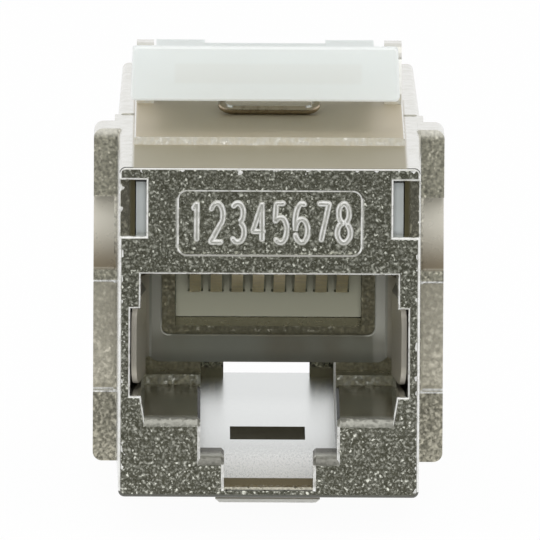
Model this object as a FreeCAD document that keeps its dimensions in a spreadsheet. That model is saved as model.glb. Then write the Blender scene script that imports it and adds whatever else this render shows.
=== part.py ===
"""Shielded eight-contact feed-through coupler in a keystone block, as a parametric document.

Frame: x to the right, y into the block from the front face, z up from the block's bottom face.
Lengths are in millimetres.
"""
import FreeCAD, Part
import Sketcher
import os

DRIVING_SIZES = {
    # Block: two cast shells that meet at half the length
    "total_length": 34.4,
    "block_width": 14.5,
    "block_height": 16.1,
    "front_draft": 0.17,
    "rear_draft": 0.15,
    "rear_height": 16.15,
    "deck_start": 7.3,
    "deck_width": 13.15,
    "deck_rise": 0.39,
    "deck_round": 0.15,
    "deck_end": 22.0,
    "collar_width": 15.1,
    # Flange that stops against the back of a panel, and the hook below it
    "flange_front": 12.2,
    "flange_back": 14.8,
    "flange_width": 17.1,
    "flange_drop": 0.27,
    "flange_rise": 0.05,
    "flange_round": 0.45,
    "wing_block_bottom": 12.8,
    "wing_slope_bottom": 9.2,
    "wing_face_top": 8.6,
    "wing_face_bottom": 3.2,
    "wing_recess_back": 13.9,
    "wing_recess_front": 12.5,
    "wing_face_back": 12.8,
    "hook_width": 5.1,
    "hook_front": 9.0,
    "hook_back": 10.8,
    "hook_drop": 1.8,
    "hook_chamfer": 0.2,
    # Jack mouth, the same in both shells
    "mouth_width": 12.4,
    "mouth_top": 10.89,
    "pocket_width": 13.4,
    "pocket_top": 9.2,
    "pocket_bottom": 4.94,
    "mouth_lower_width": 12.34,
    "ledge_width": 12.0,
    "ledge_height": 3.86,
    "ledge_depth": 10.1,
    "ledge_step": 4.35,
    "slot_width": 6.6,
    "slot_shoulder": 1.98,
    "shoulder_depth": 2.75,
    "key_width": 4.3,
    "key_sill": 0.47,
    "key_ramp": 1.45,
    "tunnel_floor": 0.72,
    "tunnel_top": 5.0,
    "partition_front": 11.75,
    "partition_back": 14.6,
    "partition_window_width": 9.1,
    "partition_window_sill": 6.5,
    "partition_sill_rise": 0.25,
    "chamber_floor": 6.3,
    "front_wall": 1.2,
    "cavity_width": 13.0,
    "cavity_top": 15.3,
    # Front face: notches, panel and edges; slot in the tunnel's floor
    "notch_inner": 5.95,
    "notch_bottom": 12.74,
    "notch_top": 15.47,
    "panel_width": 8.76,
    "panel_bottom": 11.86,
    "panel_top": 14.93,
    "panel_depth": 0.25,
    "panel_corner": 0.4,
    "panel_edge": 0.08,
    "edge_round": 0.16,
    "lip_round": 0.42,
    "mouth_edge": 0.14,
    "corner_round": 0.3,
    "floor_slot_width": 3.68,
    "floor_slot_start": 12.7,
    "floor_slot_end": 16.6,
    # Lip of the rear shell in its seat in the front shell
    "lip_width": 14.1,
    "lip_bottom": 4.95,
    "lip_top": 15.75,
    "lip_length": 1.25,
    "lip_gap": 0.05,
    # Contact carrier
    "carrier_width": 12.9,
    "carrier_front": 1.35,
    "carrier_back": 16.6,
    "carrier_top": 15.2,
    "carrier_wall_width": 9.06,
    "carrier_wall_front": 13.0,
    "carrier_wall_bottom": 6.77,
    # Contacts
    "contact_pitch": 1.02,
    "contact_width": 0.55,
    "contact_thick": 0.3,
    "contact_slot": 0.74,
    "contact_slot_bottom": 8.0,
    "contact_slot_depth": 0.8,
    "contact_low_row": 11.75,
    "contact_high_row": 12.75,
    "contact_bend_front": 2.6,
    "contact_bend_bottom": 10.62,
    "contact_tip_depth": 11.4,
    "contact_tip_height": 8.23,
    "contact_bend_round": 0.4,
    # Circuit board
    "board_width": 12.8,
    "board_hole": 0.7,
    # Ground clip
    "clip_thick": 0.25,
    "clip_width": 11.9,
    "clip_bottom": 4.76,
    "clip_bar_top": 6.1,
    "clip_window": 10.4,
    "clip_top": 10.4,
    "clip_window_round": 0.35,
    "clip_corner_round": 0.7,
    "clip_edge": 0.06,
    "leaf_bottom": 5.1,
    "leaf_top": 9.2,
    "leaf_apex": 5.95,
    "leaf_apex_depth": 6.0,
    "leaf_knee": 6.3,
    "leaf_knee_depth": 9.6,
    "leaf_end": 6.4,
    "leaf_end_depth": 1.8,
    "leaf_round": 3.0,
    "leaf_end_round": 1.2,
    # Latch on top
    "latch_bar_width": 13.1,
    "latch_bar_taper": 0.11,
    "latch_bar_front": 9.0,
    "latch_bar_back": 11.2,
    "latch_bottom": 18.0,
    "latch_bar_top": 20.65,
    "latch_edge": 0.1,
    "latch_corner": 0.25,
    "latch_crest": 0.5,
    "latch_back_top": 20.15,
    "latch_core_width": 8.9,
    "latch_core_top": 19.85,
    "latch_core_depth": 1.2,
    "latch_arm_width": 10.6,
    "latch_arm_top": 19.0,
    "latch_arm_end": 17.8,
    "latch_tab_front": 12.8,
    "latch_tab_back": 15.3,
    "latch_tab_top": 20.1,
    "latch_finger_width": 5.9,
    "latch_finger_depth": 0.16,
    "latch_sideways": 0.22,
    "pivot_depth": 19.6,
    "pivot_height": 17.6,
    "pivot_barrel": 0.9,
    "pivot_stub": 0.6,
    "pivot_play": 0.03,
    "stub_width": 12.4,
    "ear_inner": 5.65,
    "ear_outer": 6.5,
    "ear_half_depth": 1.3,
    "ear_top": 19.4,
    "ear_round": 0.9,
    # Wire spring under the latch; its tilt is in degrees
    "spring_wire": 0.22,
    "spring_bar": 3.5,
    "spring_bend": 0.55,
    "spring_reach": 3.0,
    "spring_front": 14.8,
    "spring_tilt": 20,
}

doc = FreeCAD.newDocument("inline_coupler")
sheet = doc.addObject("Spreadsheet::Sheet", "sizes")
for line, (alias, millimetres) in enumerate(DRIVING_SIZES.items(), start=1):
    sheet.set(f"A{line}", alias)
    sheet.set(f"B{line}", str(millimetres))
    sheet.setAlias(f"B{line}", alias)
doc.recompute()


class Length:
    """A length together with the sheet formula that gives it."""

    def __init__(self, value, formula):
        self.value = value
        self.formula = formula

    def combined(self, other, sign, value):
        return Length(value, f"({self.formula} {sign} {as_length(other).formula})")

    def __add__(self, other):
        return self.combined(other, "+", self.value + as_length(other).value)

    def __sub__(self, other):
        return self.combined(other, "-", self.value - as_length(other).value)

    def __mul__(self, other):
        return self.combined(other, "*", self.value * as_length(other).value)

    def __truediv__(self, other):
        return self.combined(other, "/", self.value / as_length(other).value)

    def __neg__(self):
        return self * -1


def as_length(number):
    """A plain number becomes a length whose formula is the number."""
    if isinstance(number, Length):
        return number
    return Length(number, str(number))


class SheetSizes:
    """Each driving size by its name, as a length bound to its cell."""

    def __getattr__(self, alias):
        return Length(float(sheet.get(alias)), f"sizes.{alias}")


mm = SheetSizes()
ORIGIN = (-1, 1)
HORIZONTAL_AXIS = -1
VERTICAL_AXIS = -2
TOUCH = 1e-4
ZERO = as_length(0)
half_length = mm.total_length / 2
CONTACTS = 8
FIRST_PLACE = (1 - CONTACTS) / 2


def bind(item, prop, length):
    item.setExpression(prop, as_length(length).formula)


def new_body(label):
    body = doc.addObject("PartDesign::Body", label)
    body.Label = label
    return body


def sketch_on(body, name, plane, depth):
    """An empty sketch on one of the body's own origin planes, moved along that plane's axis."""
    sketch = body.newObject("Sketcher::SketchObject", name)
    support = next(item for item in body.Origin.OriginFeatures if item.Role == plane)
    sketch.AttachmentSupport = (support, [""])
    sketch.MapMode = "FlatFace"
    depth = as_length(depth)
    offset = -depth if plane == "XZ_Plane" else depth
    sketch.AttachmentOffset = FreeCAD.Placement(FreeCAD.Vector(0, 0, offset.value), FreeCAD.Rotation())
    bind(sketch, "AttachmentOffset.Base.z", offset)
    return sketch


def fix_point(sketch, geometry, position, point):
    """Binds one point of the sketch to its two distances from the sketch's origin."""
    for kind, axis, distance in zip(("DistanceX", "DistanceY"), (VERTICAL_AXIS, HORIZONTAL_AXIS), point):
        distance = as_length(distance)
        if distance.value == 0:
            sketch.addConstraint(Sketcher.Constraint("PointOnObject", geometry, position, axis))
            continue
        bound = Sketcher.Constraint(kind, *ORIGIN, geometry, position, distance.value)
        bind(sketch, f"Constraints[{sketch.addConstraint(bound)}]", distance)


def outline(body, name, plane, depth, points):
    """A closed outline of straight runs through the points."""
    sketch = sketch_on(body, name, plane, depth)
    corners = [FreeCAD.Vector(as_length(u).value, as_length(v).value, 0) for u, v in points]
    for start, end in zip(corners, corners[1:] + corners[:1]):
        sketch.addGeometry(Part.LineSegment(start, end), False)
    for index, point in enumerate(points):
        following = (index + 1) % len(points)
        sketch.addConstraint(Sketcher.Constraint("Coincident", index, 2, following, 1))
        fix_point(sketch, index, 1, point)
    return sketch


def circle(body, name, plane, depth, centre, radius):
    sketch = sketch_on(body, name, plane, depth)
    middle = FreeCAD.Vector(as_length(centre[0]).value, as_length(centre[1]).value, 0)
    sketch.addGeometry(Part.Circle(middle, FreeCAD.Vector(0, 0, 1), radius.value), False)
    bound = sketch.addConstraint(Sketcher.Constraint("Radius", 0, radius.value))
    bind(sketch, f"Constraints[{bound}]", radius)
    fix_point(sketch, 0, 3, centre)
    return sketch


def rectangle(left, right, bottom, top):
    return [(left, bottom), (right, bottom), (right, top), (left, top)]


def centred(width, bottom, top):
    return rectangle(-width / 2, width / 2, bottom, top)


def both_sides(right_half):
    """The right half of an outline, from top to bottom, and its mirror image."""
    return right_half + [(-u, v) for u, v in reversed(right_half)]


def extrude(body, kind, sketch, length, symmetric=False, backwards=False):
    """A pad or pocket of the sketch; it has to change the body's volume."""
    before = body.Shape.Volume if not body.Shape.isNull() else 0
    feature = body.newObject(f"PartDesign::{kind}", f"{sketch.Name}_{kind.lower()}")
    feature.Profile = sketch
    feature.Reversed = backwards
    if symmetric:
        feature.SideType = "Symmetric"
    feature.Length = as_length(length).value
    bind(feature, "Length", length)
    doc.recompute()
    grown = body.Shape.Volume - before
    if (kind == "Pad") != (grown > 0) or abs(grown) < TOUCH:
        raise ValueError(f"{feature.Name} changes the volume by {grown}")
    return feature


def pad_along_y(body, name, start, end, points):
    return extrude(body, "Pad", outline(body, name, "XZ_Plane", start, points), end - start, backwards=True)


def cut_along_y(body, name, start, end, points):
    return extrude(body, "Pocket", outline(body, name, "XZ_Plane", start, points), end - start)


def pad_across(body, name, width, points):
    return extrude(body, "Pad", outline(body, name, "YZ_Plane", 0, points), width, symmetric=True)


def cut_across(body, name, width, points):
    return extrude(body, "Pocket", outline(body, name, "YZ_Plane", 0, points), width, symmetric=True)


def pad_up(body, name, bottom, top, points):
    return extrude(body, "Pad", outline(body, name, "XY_Plane", bottom, points), top - bottom)


def mirror(body, name, features):
    """Repeats features on the other side of the middle plane."""
    mirrored = body.newObject("PartDesign::Mirrored", name)
    mirrored.Originals = features
    middle = next(item for item in body.Origin.OriginFeatures if item.Role == "YZ_Plane")
    mirrored.MirrorPlane = (middle, [""])
    body.Tip = mirrored
    doc.recompute()


def repeat_along_x(body, name, feature, pitch, count):
    """Repeats a feature along x."""
    pattern = body.newObject("PartDesign::LinearPattern", name)
    pattern.Originals = [feature]
    axis = next(item for item in body.Origin.OriginFeatures if item.Role == "X_Axis")
    pattern.Direction = (axis, [""])
    pattern.Occurrences = count
    bind(pattern, "Length", pitch * (count - 1))
    body.Tip = pattern
    doc.recompute()


def finish_edges(body, kind, name, size, *tests):
    """Rounds or chamfers the edges of the body whose boxes the tests choose."""
    names = []
    for index, edge in enumerate(body.Shape.Edges, start=1):
        if any(chosen(edge.BoundBox) for chosen in tests):
            names.append(f"Edge{index}")
    if not names:
        raise ValueError(f"{name} finds no edge")
    base = body.Tip
    feature = body.newObject(f"PartDesign::{kind}", name)
    feature.Base = (base, names)
    prop = "Radius" if kind == "Fillet" else "Size"
    setattr(feature, prop, size.value)
    bind(feature, prop, size)
    doc.recompute()


def faces_front(depth):
    """A test for the edges that lie in one plane across the block."""
    return lambda box: abs(box.YMin - depth.value) + box.YLength < TOUCH


def upright_at(u, v):
    """A test for the vertical edges at a place seen from above."""
    def chosen(box):
        return box.XLength + box.YLength + abs(abs(box.XMin) - u.value) + abs(box.YMin - v.value) < TOUCH
    return chosen


def lengthwise_at(u, v):
    """A test for the edges along y at a place seen from the front."""
    def chosen(box):
        return box.XLength + box.ZLength + abs(abs(box.XMin) - u.value) + abs(box.ZMin - v.value) < TOUCH
    return chosen


def across_at(u, v):
    """A test for the edges along x at a place seen from the side."""
    return lambda box: box.YLength + box.ZLength + abs(box.YMin - u.value) + abs(box.ZMin - v.value) < TOUCH


def drafted_at(end, height):
    """A test for the long outer edges of a drafted block, from its face back to a depth."""
    def chosen(box):
        lengthwise = abs(box.YMin) + abs(box.YMax - end.value)
        return lengthwise + abs(box.ZMin - height.value) + box.ZLength < TOUCH
    return chosen


def within(chosen, half_width, bottom, top):
    """A test narrowed to the edges inside a centred rectangle seen from the front."""
    def narrowed(box):
        across = max(box.XMax, -box.XMin) < half_width.value + TOUCH
        return chosen(box) and across and bottom.value - TOUCH < box.ZMin and box.ZMax < top.value + TOUCH
    return narrowed


def cut_jack(body):
    """The plug's cavity, the latch tunnel under it and the room for the carrier and the board."""
    sides = [
        (mm.mouth_width / 2, mm.mouth_top),
        (mm.mouth_width / 2, mm.pocket_top),
        (mm.pocket_width / 2, mm.pocket_top),
        (mm.pocket_width / 2, mm.pocket_bottom),
        (mm.mouth_lower_width / 2, mm.pocket_bottom),
    ]
    mouth = both_sides(sides + [(mm.ledge_width / 2, mm.ledge_height)])
    cut_along_y(body, "mouth", ZERO, mm.ledge_depth, mouth)
    clip_seat = both_sides(sides + [(mm.mouth_lower_width / 2, mm.ledge_step)])
    cut_along_y(body, "clip_seat", mm.ledge_depth, mm.partition_front, clip_seat)
    slot = centred(mm.slot_width, mm.slot_shoulder, mm.tunnel_top)
    cut_along_y(body, "latch_slot", ZERO, half_length, slot)
    catch = centred(mm.slot_width, mm.tunnel_floor, mm.slot_shoulder)
    cut_along_y(body, "latch_catch", mm.shoulder_depth, half_length, catch)
    key = [
        (ZERO, mm.key_sill),
        (mm.key_ramp, mm.tunnel_floor),
        (mm.shoulder_depth, mm.tunnel_floor),
        (mm.shoulder_depth, mm.slot_shoulder),
        (ZERO, mm.slot_shoulder),
    ]
    cut_across(body, "key_slot", mm.key_width, key)
    sill = mm.partition_window_sill + mm.partition_sill_rise
    window = centred(mm.partition_window_width, sill, mm.mouth_top)
    cut_along_y(body, "partition_window", mm.partition_front, mm.partition_back, window)
    slope = [
        (mm.partition_front, mm.partition_window_sill),
        (mm.carrier_wall_front, sill),
        (mm.partition_front, sill),
    ]
    cut_across(body, "window_sill", mm.partition_window_width, slope)
    chamber = centred(mm.cavity_width, mm.chamber_floor, mm.mouth_top)
    cut_along_y(body, "board_chamber", mm.partition_back, half_length, chamber)
    cavity = centred(mm.cavity_width, mm.mouth_top, mm.cavity_top)
    cut_along_y(body, "carrier_cavity", mm.front_wall, half_length, cavity)


def round_rim(body):
    """Wide rounds on the lips that guide a plug in, fine ones elsewhere and a chamfer round the slot."""
    lip_heights = (mm.ledge_height, mm.slot_shoulder)
    lips = [across_at(ZERO, height) for height in lip_heights]
    finish_edges(body, "Fillet", "lips", mm.lip_round, *lips)
    lip_ends = [across_at(ZERO, height - mm.lip_round) for height in lip_heights]
    on_face = faces_front(ZERO)
    mouth = within(on_face, mm.pocket_width / 2, mm.key_sill, mm.mouth_top)
    upper_mouth = within(on_face, mm.pocket_width / 2, mm.ledge_height, mm.mouth_top)
    slot = within(on_face, mm.slot_width / 2, mm.key_sill, mm.ledge_height)

    def outside(box):
        return on_face(box) and not mouth(box)

    def sharp_in_slot(box):
        return slot(box) and not any(lip_end(box) for lip_end in lip_ends)

    finish_edges(body, "Fillet", "outer_rim", mm.edge_round, outside)
    finish_edges(body, "Fillet", "mouth_rim", mm.mouth_edge, upper_mouth)
    finish_edges(body, "Chamfer", "slot_rim", mm.mouth_edge, sharp_in_slot)


def make_front_shell():
    """Block and collar from one outline, then the flange, the deck, the hook and the cuts."""
    body = new_body("front_shell")
    face = mm.block_width / 2
    plan = both_sides([
        (face, ZERO),
        (face + mm.front_draft, mm.flange_front),
        (mm.collar_width / 2, mm.flange_front),
        (mm.collar_width / 2, half_length),
    ])
    pad_up(body, "plan", ZERO, mm.block_height, plan)
    block_edges = [drafted_at(mm.flange_front, height) for height in (ZERO, mm.block_height)]
    finish_edges(body, "Fillet", "long_edges", mm.corner_round, *block_edges)
    flange_ends = (-mm.flange_drop, mm.block_height + mm.flange_rise)
    flange = rectangle(face, mm.flange_width / 2, *flange_ends)
    mirror(body, "flanges", [pad_along_y(body, "flange", mm.flange_front, mm.flange_back, flange)])
    wing_corners = [lengthwise_at(mm.flange_width / 2, height) for height in flange_ends]
    finish_edges(body, "Fillet", "wing_corners", mm.flange_round, *wing_corners)
    deck = rectangle(-mm.deck_width / 2, mm.deck_width / 2, mm.deck_start, half_length)
    pad_up(body, "deck", mm.block_height, mm.block_height + mm.deck_rise, deck)
    deck_edge = lengthwise_at(mm.deck_width / 2, mm.block_height + mm.deck_rise)
    finish_edges(body, "Fillet", "deck_edges", mm.deck_round, deck_edge)
    hook = [
        (mm.hook_front, ZERO),
        (mm.hook_front, -mm.hook_drop + mm.hook_chamfer),
        (mm.hook_front + mm.hook_chamfer, -mm.hook_drop),
        (mm.hook_back, -mm.hook_drop),
        (mm.hook_back, ZERO),
    ]
    pad_across(body, "hook", mm.hook_width, hook)
    hook_ends = lengthwise_at(mm.hook_width / 2, -mm.hook_drop)
    finish_edges(body, "Chamfer", "hook_ends", mm.hook_chamfer, hook_ends)
    wing_slope = [
        (mm.flange_front, mm.wing_block_bottom),
        (mm.wing_recess_back, mm.wing_block_bottom),
        (mm.wing_recess_front, mm.wing_slope_bottom),
        (mm.flange_front, mm.wing_slope_bottom),
    ]
    wing_face = [
        (mm.flange_front, mm.wing_face_top),
        (mm.wing_recess_front, mm.wing_face_top),
        (mm.wing_face_back, mm.wing_face_bottom),
        (mm.flange_front, mm.wing_face_bottom),
    ]
    wing_depth = (mm.flange_width - mm.collar_width) / 2
    for name, recess in (("wing_slope", wing_slope), ("wing_face", wing_face)):
        recess_sketch = outline(body, name, "YZ_Plane", mm.flange_width / 2, recess)
        mirror(body, f"{name}s", [extrude(body, "Pocket", recess_sketch, wing_depth)])
    cut_jack(body)
    seat = centred(mm.lip_width + mm.lip_gap * 2, mm.lip_bottom - mm.lip_gap, mm.lip_top + mm.lip_gap)
    cut_along_y(body, "lip_seat", half_length - mm.lip_length - mm.lip_gap, half_length, seat)
    notch = rectangle(mm.notch_inner, face + mm.front_draft, mm.notch_bottom, mm.notch_top)
    mirror(body, "notches", [cut_along_y(body, "notch", ZERO, mm.front_wall, notch)])
    slot_half = mm.floor_slot_width / 2
    floor_slot = rectangle(-slot_half, slot_half, mm.floor_slot_start, mm.floor_slot_end)
    floor_sketch = outline(body, "floor_slot", "XY_Plane", mm.tunnel_floor, floor_slot)
    extrude(body, "Pocket", floor_sketch, mm.tunnel_floor)
    panel = centred(mm.panel_width, mm.panel_bottom, mm.panel_top)
    round_rim(body)
    cut_along_y(body, "panel", ZERO, mm.panel_depth, panel)
    panel_corners = [lengthwise_at(mm.panel_width / 2, side) for side in (mm.panel_bottom, mm.panel_top)]
    finish_edges(body, "Fillet", "panel_corners", mm.panel_corner, *panel_corners)
    panel_rim = within(faces_front(ZERO), mm.panel_width / 2, mm.panel_bottom, mm.panel_top)
    finish_edges(body, "Chamfer", "panel_rim", mm.panel_edge, panel_rim)
    return body


def make_rear_shell():
    """The second jack, drawn from its own face and then turned round behind the front shell."""
    body = new_body("rear_shell")
    face = mm.block_width / 2
    plan = both_sides([(face, ZERO), (face + mm.rear_draft, half_length)])
    pad_up(body, "plan", ZERO, mm.rear_height, plan)
    long_edges = [drafted_at(half_length, height) for height in (ZERO, mm.rear_height)]
    finish_edges(body, "Fillet", "long_edges", mm.corner_round, *long_edges)
    deck_top = mm.block_height + mm.deck_rise
    deck = rectangle(-mm.deck_width / 2, mm.deck_width / 2, mm.total_length - mm.deck_end, half_length)
    pad_up(body, "deck", mm.rear_height, deck_top, deck)
    finish_edges(body, "Fillet", "deck_edges", mm.deck_round, lengthwise_at(mm.deck_width / 2, deck_top))
    pivot = mm.total_length - mm.pivot_depth
    ear = rectangle(pivot - mm.ear_half_depth, pivot + mm.ear_half_depth, mm.rear_height, mm.ear_top)
    ear_sketch = outline(body, "ear", "YZ_Plane", mm.ear_outer, ear)
    ear_pad = extrude(body, "Pad", ear_sketch, mm.ear_outer - mm.ear_inner, backwards=True)
    mirror(body, "ears", [ear_pad])
    ear_ends = [across_at(depth, mm.ear_top) for depth, height in ear[:2]]
    finish_edges(body, "Fillet", "ear_tops", mm.ear_round, *ear_ends)
    hole_radius = mm.pivot_stub + mm.pivot_play
    stub_hole = circle(body, "stub_hole", "YZ_Plane", ZERO, (pivot, mm.pivot_height), hole_radius)
    extrude(body, "Pocket", stub_hole, mm.block_width, symmetric=True)
    cut_jack(body)
    lip_half = mm.lip_width / 2
    lip = both_sides([
        (lip_half, mm.lip_top),
        (lip_half, mm.lip_bottom),
        (mm.cavity_width / 2, mm.lip_bottom),
        (mm.cavity_width / 2, mm.cavity_top),
    ])
    pad_along_y(body, "lip", half_length, half_length + mm.lip_length, lip)
    round_rim(body)
    turn_round(body, ZERO)
    return body


def turn_round(body, offset):
    """Places a piece of the rear jack: half a turn about the upright axis, from the rear face."""
    body.Placement = FreeCAD.Placement(
        FreeCAD.Vector(offset.value, mm.total_length.value, 0),
        FreeCAD.Rotation(FreeCAD.Vector(0, 0, 1), 180),
    )
    bind(body, "Placement.Base.x", offset)
    bind(body, "Placement.Base.y", mm.total_length)


def make_latch():
    """Hook bar in front of the panel, press tab behind it, and an arm back to the pivot."""
    body = new_body("keystone_latch")
    bar_half = mm.latch_bar_width / 2
    bar = both_sides([(bar_half - mm.latch_bar_taper, mm.latch_bar_top), (bar_half, mm.latch_bottom)])
    pad_along_y(body, "bar", mm.latch_bar_front, mm.latch_bar_back, bar)
    corners = [lengthwise_at(u, v) for u, v in bar[:2]]
    finish_edges(body, "Fillet", "bar_corners", mm.latch_corner, *corners)
    slope = [
        (mm.latch_bar_front + mm.latch_crest, mm.latch_bar_top),
        (mm.latch_bar_back, mm.latch_back_top),
        (mm.latch_bar_back, mm.latch_bar_top),
    ]
    cut_across(body, "bar_slope", mm.latch_bar_width, slope)
    finish_edges(body, "Chamfer", "bar_rim", mm.latch_edge, faces_front(mm.latch_bar_front))
    core = centred(mm.latch_core_width, mm.latch_arm_top, mm.latch_core_top)
    core_start = mm.latch_bar_back - mm.latch_core_depth
    cut_along_y(body, "bar_core", core_start, mm.latch_bar_back, core)
    arm = [
        (mm.latch_bar_back, mm.latch_bottom),
        (mm.latch_arm_end, mm.latch_bottom),
        (mm.pivot_depth, mm.pivot_height - mm.pivot_barrel / 2),
        (mm.pivot_depth, mm.pivot_height + mm.pivot_barrel),
        (mm.latch_arm_end, mm.latch_arm_top),
        (mm.latch_tab_back, mm.latch_arm_top),
        (mm.latch_tab_back, mm.latch_tab_top),
        (mm.latch_tab_front, mm.latch_tab_top),
        (mm.latch_tab_front, mm.latch_arm_top),
        (mm.latch_bar_back, mm.latch_arm_top),
    ]
    pad_across(body, "arm", mm.latch_arm_width, arm)
    finger = centred(mm.latch_finger_width, mm.latch_tab_top - mm.latch_finger_depth, mm.latch_tab_top)
    cut_along_y(body, "finger_rest", mm.latch_tab_front, mm.latch_tab_back, finger)
    centre = (mm.pivot_depth, mm.pivot_height)
    barrel = circle(body, "barrel", "YZ_Plane", ZERO, centre, mm.pivot_barrel)
    extrude(body, "Pad", barrel, mm.latch_arm_width, symmetric=True)
    stub = circle(body, "stub", "YZ_Plane", ZERO, centre, mm.pivot_stub)
    extrude(body, "Pad", stub, mm.stub_width, symmetric=True)
    bind(body, "Placement.Base.x", -mm.latch_sideways)
    return body


def make_latch_spring():
    """A U of round wire: its bar lies on the deck and its legs rise to the latch's arm."""
    bar_half = mm.spring_bar / 2
    leg_length = mm.spring_reach - mm.spring_bend
    across = FreeCAD.Rotation(FreeCAD.Vector(0, 1, 0), 90)
    backward = FreeCAD.Rotation(FreeCAD.Vector(1, 0, 0), -90)
    wires = [wire_run("spring_bar", mm.spring_bar, -bar_half, ZERO, across)]
    for name, side, quarter in (("left", -1, 180), ("right", 1, -90)):
        leg_place = (bar_half + mm.spring_bend) * side
        wires.append(wire_run(f"spring_leg_{name}", leg_length, leg_place, mm.spring_bend, backward))
        bend = doc.addObject("Part::Torus", f"spring_bend_{name}")
        bend.Angle3 = 90
        bind(bend, "Radius1", mm.spring_bend)
        bind(bend, "Radius2", mm.spring_wire)
        bend.Placement.Rotation = FreeCAD.Rotation(FreeCAD.Vector(0, 0, 1), quarter)
        bind(bend, "Placement.Base.x", bar_half * side)
        bind(bend, "Placement.Base.y", mm.spring_bend)
        wires.append(bend)
    spring = doc.addObject("Part::MultiFuse", "latch_spring")
    spring.Label = "latch_spring"
    spring.Shapes = wires
    spring.Placement.Rotation = FreeCAD.Rotation(FreeCAD.Vector(1, 0, 0), mm.spring_tilt.value)
    bind(spring, "Placement.Rotation.Angle", mm.spring_tilt)
    bind(spring, "Placement.Base.y", mm.spring_front)
    bind(spring, "Placement.Base.z", mm.block_height + mm.deck_rise + mm.spring_wire)
    return spring


def wire_run(name, length, place_x, place_y, turn):
    """A straight run of the spring's wire."""
    run = doc.addObject("Part::Cylinder", name)
    bind(run, "Radius", mm.spring_wire)
    bind(run, "Height", length)
    run.Placement.Rotation = turn
    bind(run, "Placement.Base.x", place_x)
    bind(run, "Placement.Base.y", place_y)
    return run


def make_carrier(label):
    """Block over the plug's cavity and the wall behind it, slotted and grooved for eight contacts."""
    body = new_body(label)
    half = mm.contact_slot / 2
    block = centred(mm.carrier_width, mm.mouth_top, mm.carrier_top)
    pad_along_y(body, "block", mm.carrier_front, mm.carrier_back, block)
    wall = centred(mm.carrier_wall_width, mm.carrier_wall_bottom, mm.mouth_top)
    pad_along_y(body, "wall", mm.carrier_wall_front, mm.carrier_back, wall)
    rows = (("low", FIRST_PLACE, mm.contact_low_row), ("high", FIRST_PLACE + 1, mm.contact_high_row))
    for name, place, height in rows:
        middle = mm.contact_pitch * place
        ceiling = height + mm.contact_thick / 2
        slot = rectangle(middle - half, middle + half, mm.mouth_top, ceiling)
        start = mm.contact_bend_front - mm.contact_thick
        cut = cut_along_y(body, f"slot_{name}", start, mm.carrier_back, slot)
        repeat_along_x(body, f"slots_{name}", cut, mm.contact_pitch * 2, CONTACTS // 2)
    first_slot = mm.contact_pitch * FIRST_PLACE
    groove = rectangle(first_slot - half, first_slot + half, mm.contact_slot_bottom, mm.mouth_top)
    groove_back = mm.carrier_wall_front + mm.contact_slot_depth
    cut = cut_along_y(body, "groove", mm.carrier_wall_front, groove_back, groove)
    repeat_along_x(body, "grooves", cut, mm.contact_pitch, CONTACTS)
    return body


def make_contact(label, number):
    """Flat strip: tail in the board, run along the carrier, bend at the front, beam down to its tip."""
    body = new_body(label)
    height = mm.contact_low_row if number % 2 else mm.contact_high_row
    half = mm.contact_thick / 2
    tail = mm.total_length - mm.carrier_back
    front = mm.contact_bend_front
    inner = front + mm.contact_thick
    strip = [
        (tail, height + half),
        (front, height + half),
        (front, mm.contact_bend_bottom),
        (mm.contact_tip_depth, mm.contact_tip_height),
        (mm.contact_tip_depth, mm.contact_tip_height + mm.contact_thick),
        (inner, mm.contact_bend_bottom + mm.contact_thick),
        (inner, height - half),
        (tail, height - half),
    ]
    pad_across(body, "strip", mm.contact_width, strip)
    for name, bend in (("upper_bend", height + half), ("lower_bend", mm.contact_bend_bottom)):
        finish_edges(body, "Fillet", name, mm.contact_bend_round, across_at(front, bend))
    return body


def make_board():
    """Board between the two carriers, with a hole for each tail."""
    body = new_body("circuit_board")
    start = mm.carrier_back
    end = mm.total_length - mm.carrier_back
    pad_along_y(body, "board", start, end, centred(mm.board_width, mm.carrier_wall_bottom, mm.carrier_top))
    for name, height in (("low", mm.contact_low_row), ("high", mm.contact_high_row)):
        centre = (mm.contact_pitch * FIRST_PLACE, height)
        hole = circle(body, f"hole_{name}", "XZ_Plane", start, centre, mm.board_hole / 2)
        drilled = extrude(body, "Pocket", hole, end - start)
        repeat_along_x(body, f"holes_{name}", drilled, mm.contact_pitch, CONTACTS)
    return body


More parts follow.
